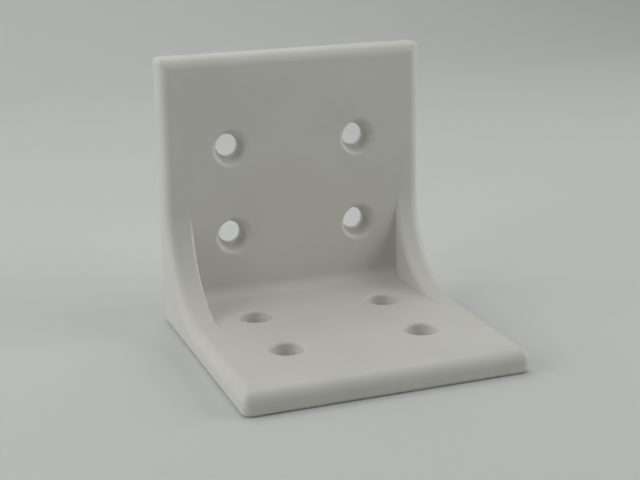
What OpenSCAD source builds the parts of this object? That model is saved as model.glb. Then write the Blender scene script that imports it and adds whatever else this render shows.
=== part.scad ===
// L-shaped corner bracket in one piece: a base flange, an upright flange and two side gussets
// whose outer edge is a hollow quarter curve. The holes in both flanges widen towards the inner
// side. The edges and corners of the inner side are rounded, and so are those of the underside.
// Frame: origin at the middle of the underside, +X along the width, +Y to the back face, +Z up.

/* [Flanges] */

// Width of the bracket, side to side
width = 61; // [54:1:100]

// Length of the base flange, front to back
base_length = 60; // [54:1:100]

// Thickness of the base flange
base_thickness = 5; // [4.5:0.5:8]

// Height of the upright flange
upright_height = 60; // [54:1:100]

// Thickness of the upright flange
upright_thickness = 5; // [4:0.5:8]

/* [Gussets] */

// Thickness of each gusset
gusset_thickness = 6; // [4.5:0.5:7]

// Radius of the hollow curve between the two flanges
gusset_radius = 21; // [10:1:40]

/* [Screw holes] */

// Diameter of the holes at the outer face
hole_diameter = 5; // [4:0.5:6]

// Diameter to which the holes widen below their rounded rims
mouth_diameter = 7; // [6.5:0.5:9]

// Length of the straight part of each hole, at the outer face
land_length = 1; // [0.5:0.25:1.5]

// Distance between the left and right holes
column_spacing = 30; // [22:1:32]

// Distance from the back face to the rear holes in the base
base_row_start = 19; // [16:0.5:24]

// Distance from the rear to the front holes in the base
base_row_spacing = 21; // [16:0.5:24]

// Distance from the underside to the lower holes in the upright
upright_row_start = 19.5; // [16:0.5:24]

// Distance from the lower to the upper holes in the upright
upright_row_spacing = 20; // [16:0.5:24]

/* [Edges] */

// Radius of the rounded edges on the inner side of the flanges and gussets
edge_radius = 2.5; // [1:0.25:3]

// Radius of the corners at the free end of the base
base_corner_radius = 2; // [0.4:0.2:2.4]

// Radius of the corners at the free end of the upright
upright_corner_radius = 1; // [0.4:0.2:2.4]

// Radius of the rounded rim of each hole, at the inner face
rim_radius = 1; // [0.5:0.25:1.5]

// Radius of the rounded edge between the hollow curve and the inner face of each gusset
inner_edge_radius = 0.6; // [0.4:0.1:1.5]

// Radius of the hollow where the upright meets the base
root_radius = 3; // [0.5:0.25:3.5]

// Radius of the edges at the front and sides of the underside
foot_radius = 0.8; // [0.4:0.1:2]

/* [Hidden] */

// Sub-part to draw

// Straight steps in a full turn of a hole
hole_steps = 48;

// Straight steps in a full turn of a rounded edge
round_steps = 48;

// Straight steps in a full turn of the gussets' curve
curve_steps = 128;

// Distance that cutting shapes run past the faces they cut
past = 1;

side = width / 2;
back = base_length / 2;
front = -base_length / 2;
upright_front = back - upright_thickness;
hole_radius = hole_diameter / 2;
mouth_radius = mouth_diameter / 2;
rim_reach = mouth_radius + rim_radius;

// Axis of the gussets' hollow curve, which meets both flanges at a tangent
curve_y = upright_front - gusset_radius;
curve_z = base_thickness + gusset_radius;

module on_both_sides() {
  children();
  mirror([1, 0, 0]) children();
}

// Outline of the bracket seen from the side, gussets included, with Y to the right and Z up
module side_outline() {
  translate([front, 0])
    square([base_length, base_thickness]);
  translate([upright_front, 0])
    square([upright_thickness, upright_height]);
  difference() {
    translate([curve_y, base_thickness / 2])
      square([gusset_radius + upright_thickness / 2, curve_z - base_thickness / 2]);
    translate([curve_y, curve_z])
      circle(gusset_radius, $fn = curve_steps);
  }
}

// Waste outside a rounded corner at the origin, with the part on its -X, -Y side
module corner_waste(radius) {
  difference() {
    translate([-radius, -radius])
      square(radius + past);
    translate([-radius, -radius])
      circle(radius, $fn = round_steps);
  }
}

// Space between the gussets, above the base and in front of the upright
module inner_space() {
  translate([gusset_thickness - side, 0, 0])
    rotate([90, 0, 90])
      linear_extrude(width - 2 * gusset_thickness)
        difference() {
          translate([front - past, base_thickness])
            square([upright_front - front + past, upright_height - base_thickness + past]);
          translate([upright_front, base_thickness])
            mirror([0, 1])
              corner_waste(root_radius);
        }
}

// Waste along an edge that runs up the Z axis, with the part on its -X, -Y side
module edge_waste(length, radius) {
  linear_extrude(length)
    corner_waste(radius);
}

// Waste along an edge that turns round a corner at the origin, with the part on its -X, -Y, -Z side
module turned_edge_waste(radius, corner_radius) {
  translate([-corner_radius, -corner_radius, 0])
    rotate_extrude(angle = 90, $fn = round_steps)
      intersection() {
        translate([corner_radius, 0])
          corner_waste(radius);
        translate([0, -radius])
          square([corner_radius + past, radius + past]);
      }
}

// Waste along an edge across the width, between its corners, with the part on its +Y, -Z side
module cross_edge_waste(radius, corner_radius) {
  translate([side - corner_radius, 0, 0])
    rotate([0, -90, 0])
      rotate([0, 0, -90])
        edge_waste(width - 2 * corner_radius, radius);
}

// Waste along the edges across the two free ends
module end_edge_waste() {
  translate([0, upright_front, upright_height])
    cross_edge_waste(edge_radius, upright_corner_radius);
  translate([0, front, base_thickness])
    cross_edge_waste(edge_radius, base_corner_radius);
  translate([0, front, 0])
    mirror([0, 0, 1])
      cross_edge_waste(foot_radius, base_corner_radius);
}

// Waste along the right edge of the underside
module right_foot_waste() {
  translate([side, back + past, 0])
    mirror([0, 0, 1])
      rotate([90, 0, 0])
        edge_waste(base_length - base_corner_radius + past, foot_radius);
}

// Waste along the right edge of the inner side: up the upright, round the gusset, along the base
module right_edge_waste() {
  translate([side, upright_front, curve_z])
    rotate([0, 0, -90])
      edge_waste(upright_height - upright_corner_radius - curve_z, edge_radius);
  translate([0, curve_y, curve_z])
    rotate([0, 90, 0])
      rotate_extrude(angle = 90, $fn = curve_steps)
        translate([gusset_radius, side])
          mirror([1, 0, 0])
            corner_waste(edge_radius);
  translate([side, curve_y, base_thickness])
    rotate([90, 0, 0])
      edge_waste(curve_y - front - base_corner_radius, edge_radius);
}

// Waste along the inner edge of the right gusset, kept clear of the faces of the flanges
module right_inner_edge_waste() {
  intersection() {
    translate([0, curve_y, curve_z])
      rotate([0, 90, 0])
        rotate_extrude(angle = 90, $fn = curve_steps)
          translate([gusset_radius, side - gusset_thickness])
            rotate(180)
              corner_waste(inner_edge_radius);
    translate([0, curve_y, base_thickness])
      cube([side, gusset_radius, gusset_radius]);
  }
}

// Waste at the right corners of the two free ends, with the rounded edges that turn round them
module right_corner_waste() {
  translate([side, front, 0])
    rotate([0, 0, -90]) {
      translate([0, 0, -past])
        edge_waste(base_thickness + 2 * past, base_corner_radius);
      translate([0, 0, base_thickness])
        turned_edge_waste(edge_radius, base_corner_radius);
      mirror([0, 0, 1])
        turned_edge_waste(foot_radius, base_corner_radius);
    }
  translate([side, upright_front, upright_height])
    rotate([90, 0, 0]) {
      translate([0, 0, -upright_thickness - past])
        edge_waste(upright_thickness + 2 * past, upright_corner_radius);
      turned_edge_waste(edge_radius, upright_corner_radius);
    }
}

// Hole down the Z axis from a face at z = 0 through a plate: a rounded rim, a taper, a straight part
module screw_hole(thickness) {
  rotate_extrude($fn = hole_steps)
    difference() {
      polygon([
        [0, -thickness - past],
        [hole_radius, -thickness - past],
        [hole_radius, land_length - thickness],
        [mouth_radius, -rim_radius],
        [rim_reach, -rim_radius],
        [rim_reach, past],
        [0, past]
      ]);
      translate([rim_reach, -rim_radius])
        circle(rim_radius, $fn = round_steps);
    }
}

module base_holes() {
  for (x = [-column_spacing / 2, column_spacing / 2])
    for (row = [0, 1])
      translate([x, back - base_row_start - row * base_row_spacing, base_thickness])
        screw_hole(base_thickness);
}

module upright_holes() {
  for (x = [-column_spacing / 2, column_spacing / 2])
    for (row = [0, 1])
      translate([x, upright_front, upright_row_start + row * upright_row_spacing])
        rotate([90, 0, 0])
          screw_hole(upright_thickness);
}

module bracket() {
  color([0.8, 0.8, 0.77])
    difference() {
      translate([-side, 0, 0])
        rotate([90, 0, 90])
          linear_extrude(width)
            side_outline();
      inner_space();
      end_edge_waste();
      on_both_sides() {
        right_edge_waste();
        right_inner_edge_waste();
        right_corner_waste();
        right_foot_waste();
      }
      base_holes();
      upright_holes();
    }
}

bracket();
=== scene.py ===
"""An off-white plastic corner bracket on a pale seamless sweep, under soft studio light."""
import math

import bpy
from mathutils import Matrix, Vector

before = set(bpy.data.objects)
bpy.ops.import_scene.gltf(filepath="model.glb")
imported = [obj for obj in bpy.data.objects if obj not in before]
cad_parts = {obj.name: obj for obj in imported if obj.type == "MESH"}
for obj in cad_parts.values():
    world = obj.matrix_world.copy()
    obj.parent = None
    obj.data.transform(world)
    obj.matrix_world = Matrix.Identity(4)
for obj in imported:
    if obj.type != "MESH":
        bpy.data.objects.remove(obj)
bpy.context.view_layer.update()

MM = 0.001

# The camera, worked out from the photograph: its place in the part's frame and where it points
CAMERA_PLACE = Vector((-95.17, -248.55, 101.02)) * MM
CAMERA_YAW = math.radians(20.19)
CAMERA_PITCH = math.radians(16.24)
CAMERA_ROLL = math.radians(-0.94)
CAMERA_NEAREST = 10 * MM
IMAGE_WIDTH_PX = 640
FOCAL_PX = 1319.8
SENSOR_WIDTH_MM = 36.0

# The sweep: a floor that curves up into a backdrop
SWEEP_HALF_WIDTH = 1.6
SWEEP_FRONT = -1.2
SWEEP_BEND_START = 0.35
SWEEP_BEND_RADIUS = 0.40
SWEEP_HEIGHT = 1.5
SWEEP_BEND_STEPS = 48
SWEEP_COLOUR = (0.594, 0.609, 0.592)
SWEEP_ROUGHNESS = 0.9
SWEEP_SPECULAR = 0.1

# The plastic: its colour drifts between two close shades, its gloss is uneven and it has a fine grain
PLASTIC_LIGHT = (0.612, 0.608, 0.562)
PLASTIC_SHADE = (0.586, 0.582, 0.537)
PLASTIC_ROUGHNESS = (0.45, 0.58)
CLOUD_SCALE = 70
CLOUD_DETAIL = 3
CLOUD_RANGE = (0.35, 0.65)
GLOSS_SCALE = 260
GLOSS_DETAIL = 4
GLOSS_RANGE = (0.3, 0.7)
GRAIN_SCALE = 2200
GRAIN_DETAIL = 2
GRAIN_HEIGHT = 0.02 * MM
GRAIN_STRENGTH = 0.5

# Square softboxes, all aimed at the bracket: place, side and power of each
SOFTBOXES = {
    "left": ((-0.6, 0.0, 0.2), 0.6, 2.42),
    "left_back": ((-0.5, 0.25, 0.35), 0.5, 0.41),
    "right_front": ((0.55, -0.2, 0.2), 0.5, 2.12),
    "right_back": ((0.5, 0.25, 0.35), 0.5, 0.24),
    "top": ((0.0, 0.05, 0.4), 0.4, 0.36),
    "top_front": ((0.0, -0.2, 0.6), 0.5, 0.41),
    "back": ((0.0, 0.45, 0.5), 0.6, 1.15),
}
SOFTBOX_AIM = Vector((0, 0, 30)) * MM

# The room: how much light it gives, and how bright the camera and reflections see it
WORLD_STRENGTH = 0.01
WORLD_SEEN_STRENGTH = 0.45
WHITE = (1, 1, 1, 1)


def new_material(name):
    """A new node material and its main shader."""
    material = bpy.data.materials.new(name)
    material.use_nodes = True
    return material, material.node_tree.nodes["Principled BSDF"]


def sweep_material():
    """Plain matt paper."""
    material, shader = new_material("sweep")
    shader.inputs["Base Color"].default_value = (*SWEEP_COLOUR, 1)
    shader.inputs["Roughness"].default_value = SWEEP_ROUGHNESS
    shader.inputs["Specular IOR Level"].default_value = SWEEP_SPECULAR
    return material


def add_noise(nodes, links, place, scale, detail):
    """A noise texture fixed to the part."""
    noise = nodes.new("ShaderNodeTexNoise")
    noise.inputs["Scale"].default_value = scale
    noise.inputs["Detail"].default_value = detail
    links.new(place.outputs["Object"], noise.inputs["Vector"])
    return noise.outputs["Fac"]


def plastic_material():
    """Matt off-white plastic with a faintly clouded colour, uneven gloss and a fine grain."""
    material, shader = new_material("white_plastic")
    nodes, links = material.node_tree.nodes, material.node_tree.links
    place = nodes.new("ShaderNodeTexCoord")
    shades = nodes.new("ShaderNodeValToRGB")
    dark, light = shades.color_ramp.elements
    dark.position, light.position = CLOUD_RANGE
    dark.color, light.color = (*PLASTIC_SHADE, 1), (*PLASTIC_LIGHT, 1)
    links.new(add_noise(nodes, links, place, CLOUD_SCALE, CLOUD_DETAIL), shades.inputs["Fac"])
    links.new(shades.outputs["Color"], shader.inputs["Base Color"])
    gloss = nodes.new("ShaderNodeMapRange")
    gloss.inputs["From Min"].default_value, gloss.inputs["From Max"].default_value = GLOSS_RANGE
    gloss.inputs["To Min"].default_value, gloss.inputs["To Max"].default_value = PLASTIC_ROUGHNESS
    links.new(add_noise(nodes, links, place, GLOSS_SCALE, GLOSS_DETAIL), gloss.inputs["Value"])
    links.new(gloss.outputs["Result"], shader.inputs["Roughness"])
    grain = nodes.new("ShaderNodeBump")
    grain.inputs["Strength"].default_value = GRAIN_STRENGTH
    grain.inputs["Distance"].default_value = GRAIN_HEIGHT
    links.new(add_noise(nodes, links, place, GRAIN_SCALE, GRAIN_DETAIL), grain.inputs["Height"])
    links.new(grain.outputs["Normal"], shader.inputs["Normal"])
    return material


def add_sweep():
    """The floor and backdrop as one strip, with its section in the YZ plane."""
    section = [(SWEEP_FRONT, 0.0)]
    for step in range(SWEEP_BEND_STEPS + 1):
        angle = math.pi / 2 * step / SWEEP_BEND_STEPS
        section.append((
            SWEEP_BEND_START + SWEEP_BEND_RADIUS * math.sin(angle),
            SWEEP_BEND_RADIUS * (1 - math.cos(angle)),
        ))
    section.append((SWEEP_BEND_START + SWEEP_BEND_RADIUS, SWEEP_HEIGHT))
    points = [(x, y, z) for y, z in section for x in (-SWEEP_HALF_WIDTH, SWEEP_HALF_WIDTH)]
    faces = [(2 * i, 2 * i + 1, 2 * i + 3, 2 * i + 2) for i in range(len(section) - 1)]
    mesh = bpy.data.meshes.new("sweep")
    mesh.from_pydata(points, [], faces)
    mesh.shade_smooth()
    mesh.materials.append(sweep_material())
    sweep = bpy.data.objects.new("sweep", mesh)
    bpy.context.scene.collection.objects.link(sweep)


def add_softbox(name, place, side, power):
    """A square lamp aimed at the bracket."""
    data = bpy.data.lights.new(name, "AREA")
    data.shape = "SQUARE"
    data.size = side
    data.energy = power
    lamp = bpy.data.objects.new(name, data)
    lamp.location = place
    lamp.rotation_euler = (SOFTBOX_AIM - Vector(place)).to_track_quat("-Z", "Y").to_euler()
    bpy.context.scene.collection.objects.link(lamp)


def add_world():
    """A faint even light from all round, which the camera and reflections see as a pale room."""
    world = bpy.data.worlds.new("world")
    world.use_nodes = True
    nodes, links = world.node_tree.nodes, world.node_tree.links
    light = nodes["Background"]
    light.inputs["Color"].default_value = WHITE
    light.inputs["Strength"].default_value = WORLD_STRENGTH
    room = nodes.new("ShaderNodeBackground")
    room.inputs["Color"].default_value = WHITE
    room.inputs["Strength"].default_value = WORLD_SEEN_STRENGTH
    rays = nodes.new("ShaderNodeLightPath")
    camera_or_glossy = nodes.new("ShaderNodeMath")
    links.new(rays.outputs["Is Camera Ray"], camera_or_glossy.inputs[0])
    links.new(rays.outputs["Is Glossy Ray"], camera_or_glossy.inputs[1])
    seen = nodes.new("ShaderNodeMath")
    seen.use_clamp = True
    links.new(camera_or_glossy.outputs["Value"], seen.inputs[0])
    links.new(rays.outputs["Is Transmission Ray"], seen.inputs[1])
    choice = nodes.new("ShaderNodeMixShader")
    links.new(seen.outputs["Value"], choice.inputs["Fac"])
    links.new(light.outputs["Background"], choice.inputs[1])
    links.new(room.outputs["Background"], choice.inputs[2])
    links.new(choice.outputs["Shader"], nodes["World Output"].inputs["Surface"])
    bpy.context.scene.world = world


def add_camera():
    """Sets the camera so that the bracket lies in the frame as it does in the photograph."""
    forward = Vector((
        math.sin(CAMERA_YAW) * math.cos(CAMERA_PITCH),
        math.cos(CAMERA_YAW) * math.cos(CAMERA_PITCH),
        -math.sin(CAMERA_PITCH),
    ))
    level_right = Vector((math.cos(CAMERA_YAW), -math.sin(CAMERA_YAW), 0))
    level_up = level_right.cross(forward)
    right = math.cos(CAMERA_ROLL) * level_right + math.sin(CAMERA_ROLL) * level_up
    up = math.cos(CAMERA_ROLL) * level_up - math.sin(CAMERA_ROLL) * level_right
    turn = Matrix((right, up, -forward)).transposed().to_4x4()
    data = bpy.data.cameras.new("camera")
    data.sensor_fit = "HORIZONTAL"
    data.sensor_width = SENSOR_WIDTH_MM
    data.lens = FOCAL_PX / IMAGE_WIDTH_PX * SENSOR_WIDTH_MM
    data.clip_start = CAMERA_NEAREST
    camera = bpy.data.objects.new("camera", data)
    camera.matrix_world = Matrix.Translation(CAMERA_PLACE) @ turn
    bpy.context.scene.collection.objects.link(camera)
    bpy.context.scene.camera = camera


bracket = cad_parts["bracket"]
bracket.data.materials.clear()
bracket.data.materials.append(plastic_material())
add_sweep()
for name, (place, side, power) in SOFTBOXES.items():
    add_softbox(name, place, side, power)
add_world()
add_camera()
bpy.context.scene.view_settings.view_transform = "Standard"
